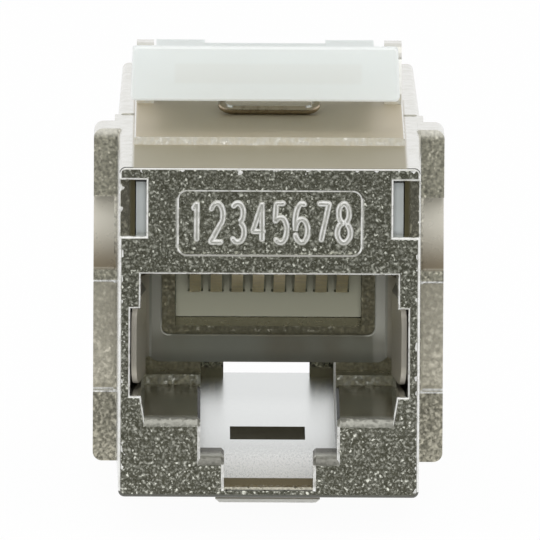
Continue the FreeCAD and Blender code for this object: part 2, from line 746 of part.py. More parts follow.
def make_ground_clip(label):
    """A plate round the partition's window, with a bowed leaf bent forward at each side."""
    body = new_body(label)
    plate = both_sides([
        (mm.clip_window / 2, mm.clip_bar_top),
        (mm.clip_window / 2, mm.clip_top),
        (mm.clip_width / 2, mm.clip_top),
        (mm.clip_width / 2, mm.clip_bottom),
    ])
    front = mm.partition_front - mm.clip_thick
    pad_along_y(body, "plate", front, mm.partition_front, plate)
    root = mm.clip_width / 2
    window_corner = lengthwise_at(mm.clip_window / 2, mm.clip_bar_top)
    finish_edges(body, "Fillet", "window_corners", mm.clip_window_round, window_corner)
    finish_edges(body, "Fillet", "lower_corners", mm.clip_corner_round, lengthwise_at(root, mm.clip_bottom))
    window_rim = within(faces_front(front), mm.clip_window / 2, mm.clip_bar_top, mm.clip_top)
    finish_edges(body, "Chamfer", "window_rim", mm.clip_edge, window_rim)
    leaf = [
        (root, front),
        (mm.leaf_knee + mm.clip_thick, mm.leaf_knee_depth),
        (mm.leaf_apex + mm.clip_thick, mm.leaf_apex_depth),
        (mm.leaf_end + mm.clip_thick, mm.leaf_end_depth),
        (mm.leaf_end, mm.leaf_end_depth),
        (mm.leaf_apex, mm.leaf_apex_depth),
        (mm.leaf_knee, mm.leaf_knee_depth),
        (root - mm.clip_thick, front),
    ]
    leaf_sketch = outline(body, "leaf", "XY_Plane", mm.leaf_bottom, leaf)
    mirror(body, "leaves", [extrude(body, "Pad", leaf_sketch, mm.leaf_top - mm.leaf_bottom)])
    for depth, inner in ((mm.leaf_knee_depth, mm.leaf_knee), (mm.leaf_apex_depth, mm.leaf_apex)):
        for face in (inner, inner + mm.clip_thick):
            finish_edges(body, "Fillet", f"bow_{len(body.Group)}", mm.leaf_round, upright_at(face, depth))
    leaf_ends = [across_at(mm.leaf_end_depth, height) for height in (mm.leaf_bottom, mm.leaf_top)]
    finish_edges(body, "Fillet", "leaf_ends", mm.leaf_end_round, *leaf_ends)
    return body


pieces = [make_front_shell(), make_rear_shell(), make_latch(), make_latch_spring(), make_board()]
for end in ("front", "rear"):
    inner = [make_carrier(f"{end}_carrier"), make_ground_clip(f"{end}_ground_clip")]
    for piece in inner:
        if end == "rear":
            turn_round(piece, ZERO)
    for number in range(1, CONTACTS + 1):
        contact = make_contact(f"{end}_contact_{number}", number)
        offset = mm.contact_pitch * (FIRST_PLACE + number - 1)
        if end == "rear":
            turn_round(contact, -offset)
        else:
            bind(contact, "Placement.Base.x", offset)
        inner.append(contact)
    pieces += inner
doc.recompute()

for item in doc.Objects:
    if "Invalid" in item.State or "Error" in item.State:
        raise RuntimeError(f"{item.Label} failed: {item.State}")
for piece in pieces:
    if piece.Shape.isNull() or not piece.Shape.isValid():
        raise RuntimeError(f"{piece.Label} has no valid shape")
os.makedirs("parts", exist_ok=True)
for piece in pieces:
    piece.Shape.exportStep(f"parts/{piece.Label}.step")
    print(piece.Label, len(piece.Shape.Solids), round(piece.Shape.Volume, 2))
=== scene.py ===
import math
from collections import namedtuple

import bpy
import numpy as np
from mathutils import Matrix, Vector


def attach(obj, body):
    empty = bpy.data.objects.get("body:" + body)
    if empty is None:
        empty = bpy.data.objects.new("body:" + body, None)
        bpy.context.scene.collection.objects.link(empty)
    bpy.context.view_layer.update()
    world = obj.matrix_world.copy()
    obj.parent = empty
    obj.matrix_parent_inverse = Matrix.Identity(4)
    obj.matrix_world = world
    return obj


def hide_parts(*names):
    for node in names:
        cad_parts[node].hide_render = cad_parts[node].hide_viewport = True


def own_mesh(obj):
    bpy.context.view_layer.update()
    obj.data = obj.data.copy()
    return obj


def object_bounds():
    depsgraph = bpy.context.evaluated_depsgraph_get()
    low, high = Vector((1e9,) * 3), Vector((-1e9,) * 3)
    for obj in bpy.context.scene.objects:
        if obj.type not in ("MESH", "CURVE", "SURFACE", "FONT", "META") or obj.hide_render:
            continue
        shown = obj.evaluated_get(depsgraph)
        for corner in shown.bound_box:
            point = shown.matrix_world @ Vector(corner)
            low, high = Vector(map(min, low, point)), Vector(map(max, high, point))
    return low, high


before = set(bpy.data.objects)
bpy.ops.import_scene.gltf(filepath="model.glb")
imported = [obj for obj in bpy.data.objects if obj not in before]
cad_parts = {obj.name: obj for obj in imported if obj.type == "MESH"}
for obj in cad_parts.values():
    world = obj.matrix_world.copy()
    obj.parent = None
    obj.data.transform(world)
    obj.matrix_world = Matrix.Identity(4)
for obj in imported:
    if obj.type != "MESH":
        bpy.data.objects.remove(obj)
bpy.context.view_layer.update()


# Cast shells: two zinc die castings that meet half way along the block, plated with satin nickel.
# Faces across the die keep a fine sparkling grain; faces that slid along it came out smooth,
# and the flange and the deck, which no polishing wheel reaches, are duller. Their warmer tones are painted:
# the deck's is a painted reflection of the latch's shaded underside, and the flange's is painted light and
# shade.
MM = 0.001
WHITE = (1, 1, 1, 1)
HALF_WAY = 17.2 * MM
WING_EDGE_HEIGHTS = (8.6 * MM, 3.2 * MM)
FACE_HALF_WIDTH = 7.12 * MM
FACE_TOP = 15.97 * MM
NOISE_MIDDLE = 0.5
MID_NOISE = (0.3, 0.7)
HIGHLIGHT_BREAK_SIZE = 0.35 * MM
BLOTCH_SIZE = 0.55 * MM
HIGHLIGHT_LEVEL = 0.54
HIGHLIGHT_REACH_WIDTH = 1.4 * MM
PATCH_SIZE = 0.6 * MM
PATCH_RANGE = (0.25, 0.75)
WORN_SHARE = 0.6
GRAIN_SIZE = 0.2 * MM
SPECKLE_SIZE = 0.165 * MM
SPECKLE_SHIFT = (0.05, 0.03, 0.07)
SCUFF_SIZE = 0.09 * MM
SCUFF_STRETCH = (1, 0.16, 1)
FRONT_LEAN = 1.62
WING_LEAN = 1.7
LEAN_LOST = {"wing_face": 1.15, "dark_inside": 0.72, "riser": 0.22, "lip": 0.37}
SIDE_LEAN = 0.25
RIM_LEAN = 0.4
CAST_ROUGHNESS = (0.16, 0.22)
ROUGHER = {"dull": 0.1, "deck": 0.2, "face": 0.05, "tunnel_floor": 0.1}
ZINC_COLOUR = (0.70, 0.695, 0.655, 1)
WORN_COLOUR = (0.63, 0.62, 0.56, 1)
FACE_COLOUR = (0.84, 0.845, 0.745, 1)
# Painted highlight on the rounded edges, and painted shade on the bottom edge.
RIM_HIGHLIGHT = (0.82, 0.82, 0.80, 1)
LOW_RIM_SHADE = (0.11, 0.11, 0.095, 1)

# A place is a product of soft steps: a gauge, its reading where the place begins and where it is whole.
# Lengths are in millimetres; two more numbers are the levels before and after, in place of none and one.
# A name alone is an earlier place, "no" makes its opposite, "either" takes the largest of several,
# and a number alone is the most that the place comes to.
CAST_PLACES = {
    # Which way the surface looks.
    "across": [("faces_end", 0.95, 0.99)],
    "beside": [("faces_side", 0.9, 0.98)],
    "upward": [("faces_up", 0.8, 0.97)],
    "rounded": [("depth", 0.5, 0.45), ("faces_out", 0.05, 0.15)],
    # The flange at each side: its foot, its upright face, the slope above and the edges between them, toned
    # with painted light and shade.
    "wing": [("off_middle", 7.35, 7.5), ("along", 11.9, 12.1), ("faces_end", 0.5, 0.8)],
    "wing_foot": ["wing", ("height", 3.3, 3.1)],
    "wing_face": ["wing", ("height", 3.1, 3.3), ("height", 8.7, 8.5)],
    "wing_slope": ["wing", ("height", 9.1, 9.3), ("height", 12.9, 12.7)],
    "shaded_slope_foot": ["wing_slope", ("height", 11.6, 9.2)],
    "wing_edge": ["wing", ("to_wing_edge", 0.1, 0.04)],
    # The deck, the riser at its front, the rear shell's ears, the hook below and the block's sides.
    "above": [("height", 15.6, 16.05)],
    "deck": ["upward", "above", ("off_middle", 6.7, 6.5), ("height", 17.2, 17), ("along", 22.1, 21.9)],
    # Painted light: behind 7.5 mm, under the latch, the deck is painted lighter against the latch's shadow.
    "lit_deck_under_latch": ["deck", ("along", 7, 7.5)],
    "riser": ["across", "above", ("depth", 5, 7)],
    "ear": ["across", ("height", 16.9, 17.1)],
    "hook": [("height", -0.3, -0.4)],
    "hook_or_ear": ["either", "hook", "ear"],
    "outer_side": ["beside", ("off_middle", 7.15, 7.2), ("off_middle", 7.6, 7.5), ("depth", 9, 1.5)],
    # The tunnel for the plugs' latches, the ramp at its mouth and the shoulders beside it.
    "under": [("height", 1.3, 1.1)],
    "tunnel": ["under", ("off_middle", 3.45, 3.35), ("depth", 1.1, 1.3)],
    "tunnel_floor": ["tunnel", ("faces_up", 0.99, 0.999)],
    "rear_floor": ["tunnel_floor", ("along", 22, 27)],
    "front_floor": ["tunnel_floor", ("along", 11, 6)],
    "tunnel_wall": ["tunnel", "across"],
    "slot_wall": ["tunnel_wall", ("height", 0.74, 0.7)],
    "key_ramp": ["under", "upward", ("off_middle", 2.2, 2.15), "no tunnel_floor"],
    "by_tunnel": [("off_middle", 2.1, 2.2), ("off_middle", 3.4, 3.3), ("depth", 3, 2.9)],
    "shoulder": ["by_tunnel", ("faces_up", 0.5, 0.7), ("height", 1.75, 1.85), ("height", 2.1, 2.05)],
    "shoulder_front": ["shoulder", ("depth", 1.9, 0.5)],
    # The plug's cavity: its ledges, their edges by the latch slot, the partition and the window's sill.
    "ledge": ["upward", ("height", 3.5, 3.7), ("height", 4.1, 4)],
    "near_ledge": ["ledge", ("depth", 1.3, 0.3)],
    "far_ledge": ["ledge", ("depth", 6.5, 8.5)],
    "by_slot": [("off_middle", 3.2, 3.25), ("off_middle", 3.5, 3.45)],
    "slot_side": ["beside", "by_slot", ("height", 4.5, 4.4)],
    "bevel": [("faces_up", 0.5, 0.6), ("faces_up", 0.85, 0.8)],
    "ledge_edge": ["by_slot", "bevel", ("height", 3.68, 3.72), ("depth", 0.4, 0.44)],
    "cavity": [("depth", 8, 10), ("off_middle", 6.8, 6.6), ("height", 12, 11), ("height", 1.2, 1.6)],
    "sill": ["across", ("depth", 9.9, 10), ("depth", 10.3, 10.2)],
    "in_window": [("depth", 11.7, 11.8), ("depth", 14.6, 14.5), ("off_middle", 4.7, 4.6)],
    "window_sill": ["in_window", ("faces_up", 0.7, 0.9), ("height", 6.3, 6.4), ("height", 7.2, 7)],
    # The recesses beside the panel: their floors, the outer edges of these and the ends by the panel.
    "notch": ["across", ("depth", 0.9, 1.1), ("depth", 1.5, 1.3), ("height", 12.5, 12.7)],
    "notch_end": ["notch", ("off_middle", 6.84, 6.64)],
    "notch_rim": ["notch", ("bitten_width", 7.17, 7.22)],
    "notch_post": ["notch", "no notch_rim"],
    # The front face with the rounded lips of the mouth, and the tops of the numerals in the panel.
    "lip_height": [("height", 1.5, 1.55), ("height", 3.95, 3.9)],
    "lip": ["rounded", "lip_height", ("off_middle", 6.1, 6), ("faces_up", 0.05, 0.15)],
    "shoulder_lip": ["lip", ("height", 2, 1.9)],
    "key_lip": ["rounded", ("faces_up", 0.1, 0.2), ("height", 0.64, 0.58), ("off_middle", 2.2, 2.1)],
    "key_lip_top": ["key_lip", ("height", 0.36, 0.42)],
    "lip_or_ledge": ["either", "lip", "near_ledge"],
    "face": ["either", "across", "lip", "key_lip"],
    "face_top": ["face", ("height", 4, 10)],
    "in_panel": [("off_middle", 4.6, 4.5), ("height", 11.5, 11.6)],
    "panel_foot": ["rounded", "in_panel", ("height", 12, 11.9), ("faces_up", 0.05, 0.2)],
    # Painted highlight on the tops of the numerals.
    "raised": ["in_panel", ("height", 12.1, 12.2), ("height", 14.7, 14.6), ("along", 0.21, 0.17), 0.45],
    # The rounded edges of the face: painted shade below and on top, painted highlights elsewhere, broken up
    # by noise.
    "low_rim": ["rounded", ("faces_up", -0.02, -0.1), ("height", 0.35, 0.3)],
    "top_rim": ["rounded", ("depth", 0.045, 0.065), ("height", 15.7, 15.75), ("faces_up", 0.05, 0.2)],
    "dark_rim": ["either", "top_rim", "panel_foot", "low_rim"],
    "upper_edge": ["rounded", ("height", 15.9, 15.95)],
    "bitten": ["across", ("depth", 0.2, 0.1), ("to_bite", 0, -0.04)],
    "bare_edge": ["rounded", "no face", "no panel_foot", "no low_rim", ("turned", 0.25, 0.55)],
    "worn_edge": ["bare_edge", ("chips", 0.3, 0.6, 0.35, 1), ("upper_edge", 0, 1, 1, 0.4)],
    "rim": ["either", "worn_edge", "raised", "bitten", "notch_rim"],
    "rim_or_wing_edge": ["either", "rim", "wing_edge"],
    "rim_or_sill": ["either", "rim", "window_sill"],
    # Where the grain, the speckle and the scuffs show, and where the plating is dull or even.
    "inner": ["either", "cavity", "notch_end"],
    "dark_inside": ["inner", ("sill", 0, 1, 1, 0.2)],
    "dull": ["either", "wing", "deck", "inner", "lip"],
    "even": ["either", "deck", "tunnel_floor"],
    "patchy": [("even", 0, 1, 1, 0.2)],
    "sheltered": ["either", "tunnel", "notch_end"],
    "exposed": ["no sheltered"],
    "fine": ["either", "wing_face", "riser"],
    "grained": ["face", "exposed", ("lip", 0, 1, 1, 0.75), ("fine", 0, 1, 1, 0.3)],
    "speckled": ["grained", ("wing", 0, 1, 0.8, 1.7)],
    "scuffed_floor": ["tunnel_floor", ("along", 6, 13, 0.9, 0.108)],
    "scuffed_side": ["beside", 0.3],
    "scuffed": ["either", "scuffed_floor", "scuffed_side"],
}

# Colours of the places, each laid over those before it.
CAST_COLOURS = [
    ("beside", (0.62, 0.625, 0.61, 1)),
    ("outer_side", (0.90, 0.905, 0.89, 1)),
    # Painted shade: the walls beside the latch slot and the ledges' edges there are painted dark.
    ("slot_side", (0.2, 0.19, 0.16, 1)),
    ("ledge_edge", (0.1, 0.095, 0.08, 1)),
    ("face", FACE_COLOUR),
    ("face_top", (0.70, 0.71, 0.62, 1)),
    # Painted shade inside the mouth: the cavity and the ledges are painted darker and warmer, and the lips
    # and the front of the ledges are painted darker still.
    ("cavity", (0.60, 0.58, 0.465, 1)),
    ("ledge", (0.62, 0.59, 0.48, 1)),
    # Painted shade on the shoulders beside the tunnel, a painted highlight at their front, and painted
    # shade on their lips.
    ("shoulder", (0.064, 0.058, 0.045, 1)),
    ("shoulder_front", (0.78, 0.775, 0.70, 1)),
    ("lip_or_ledge", (0.40, 0.397, 0.347, 1)),
    ("shoulder_lip", (0.24, 0.235, 0.205, 1)),
    ("sill", FACE_COLOUR),
    # Painted shade on the window's sill, which would otherwise mirror the wall above.
    ("window_sill", (0.38, 0.355, 0.275, 1)),
    # Painted highlights on the rounded edges, the wavy band along the face's outline, the numerals' tops
    # and the notches' outer edges; painted shade on the top edge, the panel's foot, the bottom edge and the
    # key's lip, with a painted highlight on the top of the key's lip.
    ("rim", RIM_HIGHLIGHT),
    ("top_rim", (0.09, 0.088, 0.078, 1)),
    ("panel_foot", (0.31, 0.305, 0.275, 1)),
    ("low_rim", LOW_RIM_SHADE),
    ("key_lip", LOW_RIM_SHADE),
    ("key_lip_top", (0.44, 0.42, 0.345, 1)),
    # Painted shade in the recesses beside the panel: their floors and the ends by the panel are painted
    # dark brown.
    ("notch_post", (0.33, 0.32, 0.26, 1)),
    ("notch_end", (0.24, 0.215, 0.125, 1)),
    # Painted light and shade on the flange: the foot is painted darker, the upright face lighter, the
    # bottom of the slope is painted shade, and the edges are painted highlights.
    ("wing", (0.57, 0.55, 0.445, 1)),
    ("wing_foot", (0.42, 0.40, 0.32, 1)),
    ("wing_face", (0.755, 0.715, 0.59, 1)),
    ("wing_slope", (0.65, 0.62, 0.535, 1)),
    ("shaded_slope_foot", (0.20, 0.165, 0.11, 1)),
    ("wing_edge", RIM_HIGHLIGHT),
    # Painted reflection: the deck's warm dark beige stands for the latch's shaded underside mirrored in it.
    # Painted light: under the latch it is lighter, to lift the shadow there.
    ("deck", (0.338, 0.30, 0.207, 1)),
    ("lit_deck_under_latch", (0.515, 0.445, 0.32, 1)),
    # Painted highlight: the riser is painted light, as if its face caught the light from above.
    ("riser", (0.88, 0.855, 0.765, 1)),
    ("tunnel_floor", (0.73, 0.75, 0.745, 1)),
    ("rear_floor", (0.655, 0.675, 0.67, 1)),
    ("front_floor", (0.97, 0.98, 0.975, 1)),
    # Painted light: the hook and the ears are painted near white and matt, standing in for the light that
    # the pale floor and the lamps throw on them.
    ("hook_or_ear", (0.98, 0.98, 0.95, 1)),
    ("key_ramp", (0.35, 0.29, 0.18, 1)),
    ("tunnel_wall", (0.75, 0.71, 0.56, 1)),
    # Painted shade: the slot through the tunnel floor is painted dark for the shadow under the block.
    ("slot_wall", (0.22, 0.21, 0.17, 1)),
]

# How much a place still shines as bare metal, and the tint of what it mirrors at a glancing angle: painted
# shade that dims the reflections on the far ledge and beside the latch slot.
BARE_SHARES = {
    "deck": 0.5,
    "riser": 0.5,
    "wing": 0.75,
    "wing_slope": 0.25,
    "hook_or_ear": 0,
    "notch": 0.85,
    "key_ramp": 0.6,
    "rim_or_wing_edge": 0.3,
    "dark_rim": 0.25,
    "shoulder": 0.25,
    "lip_or_ledge": 0.55,
    "outer_side": 0.25,
}
GLANCE_COLOURS = [
    ("far_ledge", (0.55, 0.55, 0.55, 1)),
    ("slot_side", (0.45, 0.45, 0.44, 1)),
    ("ledge_edge", (0.1, 0.1, 0.1, 1)),
]


def new_material(name, metallic=0.0, roughness=0.5):
    """A node material: itself, its node tree and its surface shader."""
    material = bpy.data.materials.new(name)
    material.use_nodes = True
    tree = material.node_tree
    surface = tree.nodes["Principled BSDF"]
    surface.inputs["Metallic"].default_value = metallic
    surface.inputs["Roughness"].default_value = roughness
    return material, tree, surface


def texture_of(tree):
    """The outputs that give each point's place and normal."""
    return tree.nodes.new("ShaderNodeTexCoord").outputs


def feed(tree, socket, value):
    """Links another node's output to the socket, or sets it to a constant."""
    if isinstance(value, bpy.types.NodeSocket):
        tree.links.new(value, socket)
    else:
        socket.default_value = value


def maths(tree, operation, *values):
    """One step of arithmetic on numbers or outputs."""
    node = tree.nodes.new("ShaderNodeMath")
    node.operation = operation
    for socket, value in zip(node.inputs, values):
        feed(tree, socket, value)
    return node.outputs[0]


def chain(tree, operation, values):
    """The values joined in turn by one operation: their product, or the largest of them."""
    joined = values[0]
    for value in values[1:]:
        joined = maths(tree, operation, joined, value)
    return joined


def vectors(tree, operation, first, second=None):
    """One step of vector arithmetic; for SCALE the second value is a number."""
    node = tree.nodes.new("ShaderNodeVectorMath")
    node.operation = operation
    feed(tree, node.inputs[0], first)
    if second is not None:
        feed(tree, node.inputs["Scale" if operation == "SCALE" else 1], second)
    return node.outputs[0]


def step(tree, value, start, end, low=0.0, high=1.0, course="SMOOTHSTEP"):
    """A step from low to high as the value goes from start to end."""
    node = tree.nodes.new("ShaderNodeMapRange")
    node.interpolation_type = course
    feed(tree, node.inputs["Value"], value)
    for name, number in (("From Min", start), ("From Max", end), ("To Min", low), ("To Max", high)):
        node.inputs[name].default_value = number
    return node.outputs["Result"]


def parts_of(tree, vector):
    """The x, y and z outputs of a vector."""
    node = tree.nodes.new("ShaderNodeSeparateXYZ")
    tree.links.new(vector, node.inputs[0])
    return node.outputs


def noise(tree, vector, size, detail=2.0):
    """Noise with features of the given size."""
    node = tree.nodes.new("ShaderNodeTexNoise")
    node.inputs["Scale"].default_value = 1 / size
    node.inputs["Detail"].default_value = detail
    tree.links.new(vector, node.inputs["Vector"])
    return node.outputs


def mix_colours(tree, factor, first, second):
    """The first colour, going over to the second as the factor goes from none to one."""
    # Numbers of the colours among the node's sockets, which come in one set for each kind of value.
    first_input, second_input, result = 6, 7, 2
    node = tree.nodes.new("ShaderNodeMix")
    node.data_type = "RGBA"
    feed(tree, node.inputs["Factor"], factor)
    feed(tree, node.inputs[first_input], first)
    feed(tree, node.inputs[second_input], second)
    return node.outputs[result]


def off_from(tree, reading, middle):
    """How far a reading is from a middle, either way."""
    return maths(tree, "ABSOLUTE", maths(tree, "SUBTRACT", reading, middle))


Gauge = namedtuple("Gauge", ("reading", "unit"))


def gauges_of(tree, texture):
    """Readings at a point, each with its unit: where it is, and how far the surface faces each way."""
    place = parts_of(tree, texture["Object"])
    facing = parts_of(tree, texture["Normal"])
    return {
        "right": Gauge(place["X"], MM),
        "along": Gauge(place["Y"], MM),
        "height": Gauge(place["Z"], MM),
        "off_middle": Gauge(maths(tree, "ABSOLUTE", place["X"]), MM),
        "faces_right": Gauge(facing["X"], 1),
        "faces_back": Gauge(facing["Y"], 1),
        "faces_up": Gauge(facing["Z"], 1),
        "faces_side": Gauge(maths(tree, "ABSOLUTE", facing["X"]), 1),
        "faces_end": Gauge(maths(tree, "ABSOLUTE", facing["Y"]), 1),
    }


def soft_part(tree, gauges, masks, part):
    """One factor of a place: a number, an earlier place, its opposite, or a step on a gauge or place."""
    if isinstance(part, float):
        return part
    if isinstance(part, str):
        name = part.removeprefix("no ")
        return masks[name] if name == part else step(tree, masks[name], 0, 1, 1, 0)
    name, start, end, *levels = part
    reading, unit = Gauge(masks[name], 1) if name in masks else gauges[name]
    return step(tree, reading, start * unit, end * unit, *levels)


def soft_places(tree, gauges, places):
    """A mask for each place: the product of its parts, or the largest of them where it says either."""
    masks = {}
    for name, parts in places.items():
        if parts[0] == "either":
            masks[name] = chain(tree, "MAXIMUM", [masks[part] for part in parts[1:]])
        else:
            factors = [soft_part(tree, gauges, masks, part) for part in parts]
            masks[name] = chain(tree, "MULTIPLY", factors)
    return masks


def lay_on(tree, masks, tone, colours):
    """Each colour laid over the tone before it, as far as its place reaches."""
    for place, colour in colours:
        tone = mix_colours(tree, masks[place], tone, colour)
    return tone


def set_finish(node_name, material):
    """Gives a CAD piece its material."""
    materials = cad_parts[node_name].data.materials
    materials.clear()
    materials.append(material)


def cast_gauges(tree, texture):
    """The usual gauges, and depth from the nearer end; the painted highlight along the face's edge reaches
    as far as noise goes over a level.
    """
    gauges = gauges_of(tree, texture)
    off_middle = gauges["off_middle"].reading
    height = gauges["height"].reading
    from_seam = maths(tree, "SUBTRACT", gauges["along"].reading, HALF_WAY)
    blotches = noise(tree, texture["Object"], BLOTCH_SIZE)["Fac"]
    over_level = maths(tree, "MAXIMUM", maths(tree, "SUBTRACT", blotches, HIGHLIGHT_LEVEL), 0)
    highlight_reach = maths(tree, "MULTIPLY", over_level, HIGHLIGHT_REACH_WIDTH)
    to_side = maths(tree, "SUBTRACT", FACE_HALF_WIDTH, off_middle)
    to_edge = maths(tree, "MINIMUM", to_side, maths(tree, "SUBTRACT", FACE_TOP, height))
    to_wing_edges = [off_from(tree, height, edge) for edge in WING_EDGE_HEIGHTS]
    outward = maths(tree, "MULTIPLY", gauges["faces_back"].reading, maths(tree, "SIGN", from_seam))
    up_or_down = maths(tree, "ABSOLUTE", gauges["faces_up"].reading)
    return gauges | {
        "depth": Gauge(maths(tree, "SUBTRACT", HALF_WAY, maths(tree, "ABSOLUTE", from_seam)), MM),
        "to_wing_edge": Gauge(maths(tree, "MINIMUM", *to_wing_edges), MM),
        "to_bite": Gauge(maths(tree, "SUBTRACT", to_edge, highlight_reach), MM),
        "bitten_width": Gauge(maths(tree, "ADD", off_middle, highlight_reach), MM),
        "faces_out": Gauge(outward, 1),
        "turned": Gauge(maths(tree, "MAXIMUM", gauges["faces_side"].reading, up_or_down), 1),
        "chips": Gauge(noise(tree, texture["Object"], HIGHLIGHT_BREAK_SIZE)["Fac"], 1),
    }


def grained_normal(tree, texture, masks):
    """The normal plus coloured noise less its middle, times the lean: far on faces across the die."""
    lean = step(tree, masks["wing"], 0, 1, FRONT_LEAN, WING_LEAN)
    for place, lost in LEAN_LOST.items():
        lean = maths(tree, "SUBTRACT", lean, maths(tree, "MULTIPLY", masks[place], lost))
    leans = (("face", lean), ("beside", SIDE_LEAN), ("rim_or_sill", RIM_LEAN))
    lean = chain(tree, "MAXIMUM", [maths(tree, "MULTIPLY", masks[place], far) for place, far in leans])
    lean = maths(tree, "MULTIPLY", lean, masks["exposed"])
    grain = noise(tree, texture["Object"], GRAIN_SIZE)["Color"]
    tilt = vectors(tree, "SCALE", vectors(tree, "SUBTRACT", grain, (NOISE_MIDDLE,) * 3), lean)
    normal = tree.nodes.new("ShaderNodeNewGeometry").outputs["Normal"]
    return vectors(tree, "NORMALIZE", vectors(tree, "ADD", normal, tilt))


def cast_roughness(tree, masks, patches):
    """Uneven in patches, plus what each rougher place adds."""
    uneven = maths(tree, "MULTIPLY", patches, masks["patchy"])
    roughness = step(tree, uneven, *MID_NOISE, *CAST_ROUGHNESS)
    for place, more in ROUGHER.items():
        roughness = maths(tree, "ADD", roughness, maths(tree, "MULTIPLY", masks[place], more))
    return roughness


def cast_tone(tree, texture, masks, patches):
    """Worn in patches under the places' colours, times one plus the speckle and the drawn-out scuffs."""
    worn = step(tree, patches, *PATCH_RANGE, 0, WORN_SHARE)
    tone = lay_on(tree, masks, mix_colours(tree, worn, ZINC_COLOUR, WORN_COLOUR), CAST_COLOURS)
    moved = vectors(tree, "ADD", texture["Object"], SPECKLE_SHIFT)
    drawn_out = vectors(tree, "MULTIPLY", texture["Object"], SCUFF_STRETCH)
    shade = 1.0
    for place, spots, size in (("speckled", moved, SPECKLE_SIZE), ("scuffed", drawn_out, SCUFF_SIZE)):
        uneven = maths(tree, "SUBTRACT", noise(tree, spots, size, detail=1)["Fac"], NOISE_MIDDLE)
        shade = maths(tree, "ADD", shade, maths(tree, "MULTIPLY", uneven, masks[place]))
    return vectors(tree, "SCALE", tone, shade)


def cast_zinc():
    """Satin nickel: normal, roughness, tone, bare metal and glancing tint all follow the places."""
    material, tree, surface = new_material("plated_zinc")
    texture = texture_of(tree)
    masks = soft_places(tree, cast_gauges(tree, texture), CAST_PLACES)
    patches = noise(tree, texture["Object"], PATCH_SIZE)["Fac"]
    bare = [step(tree, masks[place], 0, 1, 1, share) for place, share in BARE_SHARES.items()]
    feed(tree, surface.inputs["Normal"], grained_normal(tree, texture, masks))
    feed(tree, surface.inputs["Roughness"], cast_roughness(tree, masks, patches))
    feed(tree, surface.inputs["Base Color"], cast_tone(tree, texture, masks, patches))
    feed(tree, surface.inputs["Metallic"], chain(tree, "MULTIPLY", bare))
    feed(tree, surface.inputs["Specular Tint"], lay_on(tree, masks, WHITE, GLANCE_COLOURS))
    return material


zinc = cast_zinc()
for shell in ("front_shell", "rear_shell"):
    set_finish(shell, zinc)


# Numerals in the panel: the eight contact numbers stand up from the floor of the recess,
# cast in one with the front shell, as rounded strokes just below the level of the front face.
NUMERAL_HEIGHT = 1.9 * MM
NUMERAL_WIDTH = 1.02 * MM
NUMERAL_PITCH = 1.02 * MM
NUMERAL_MIDDLE = 13.4 * MM
PANEL_FLOOR = 0.25 * MM
STROKE_HALF_WIDTH = 0.16 * MM
STROKE_RISE = 0.22 * MM
BURIED_RISE = 0.2 * STROKE_RISE
STROKE_SPACING = 0.02 * MM
STROKE_SIDES = 12
ARC_POINTS = 40
FEWEST_POINTS = 8
EASING_PASSES = 4
END_SHARE = 0.05


def arc(centre, radii, start, end):
    """Points on an ellipse between two angles in degrees: the centre plus radii times cosine and sine."""
    angles = np.radians(np.linspace(start, end, ARC_POINTS))
    return np.array(centre) + np.stack([np.cos(angles), np.sin(angles)], axis=1) * radii


def numeral_strokes():
    """Each numeral's one stroke, in a cell from 0 to 1 upwards and about 0.3 to either side."""
    return [
        np.array([(-0.16, 0.8), (0.05, 1), (0.05, 0)]),
        np.vstack([arc((0, 0.7), (0.29, 0.3), 165, -38), [(-0.3, 0), (0.32, 0)]]),
        np.vstack([arc((-0.02, 0.75), (0.27, 0.25), 155, -80), arc((-0.02, 0.26), (0.31, 0.26), 80, -155)]),
        np.array([(0.13, 0), (0.13, 1), (-0.31, 0.28), (0.33, 0.28)]),
        np.vstack([[(0.27, 1), (-0.2, 1), (-0.25, 0.54)], arc((0, 0.32), (0.31, 0.32), 130, -145)]),
        np.vstack([arc((0.02, 0.5), (0.32, 0.5), 55, 175), arc((0, 0.3), (0.3, 0.3), 180, -175)]),
        np.array([(-0.3, 1), (0.3, 1), (-0.1, 0)]),
        np.vstack([arc((0, 0.75), (0.25, 0.25), -85, 260), arc((0, 0.25), (0.31, 0.25), 100, 440)]),
    ]


def even_path(points, spacing):
    """The points joined by straight runs, walked in even steps; each pass eases corners by quarters."""
    runs = np.concatenate([[0], np.cumsum(np.linalg.norm(np.diff(points, axis=0), axis=1))])
    walk = np.linspace(0, runs[-1], max(FEWEST_POINTS, int(runs[-1] / spacing)))
    path = np.stack([np.interp(walk, runs, column) for column in points.T], axis=1)
    for _ in range(EASING_PASSES):
        path[1:-1] = (path[:-2] + 2 * path[1:-1] + path[2:]) / 4
    return path


def end_taper(count, spacing, radius):
    """Width along a stroke: the square root of 1 - d^2 within a radius of each end, so it ends round."""
    distance = np.minimum(np.arange(count), np.arange(count)[::-1]) * spacing
    short = np.clip(1 - distance / radius, 0, 1)
    return np.sqrt(np.maximum(1 - short ** 2, END_SHARE ** 2))


def sweep(path, sideways, lift, taper):
    """A section carried along a flat path: the path plus sideways across it, and the lift, both tapered."""
    along = np.gradient(path, axis=0)
    along /= np.linalg.norm(along, axis=1)[:, None]
    first = path[:, :1] - along[:, 1:] * sideways * taper[:, None]
    second = path[:, 1:] + along[:, :1] * sideways * taper[:, None]
    return first, second, lift * taper[:, None]


def tube_faces(rows, sides, first):
    """Quads between neighbouring rings of points, and one face across each end ring."""
    side = np.arange(sides)
    ring = first + sides * np.arange(rows - 1)[:, None]
    here = ring + side
    beside = ring + (side + 1) % sides
    quads = np.stack([here, beside, beside + sides, here + sides], axis=2).reshape(-1, 4)
    last = first + sides * (rows - 1)
    return [*quads.tolist(), (first + side[::-1]).tolist(), (last + side).tolist()]


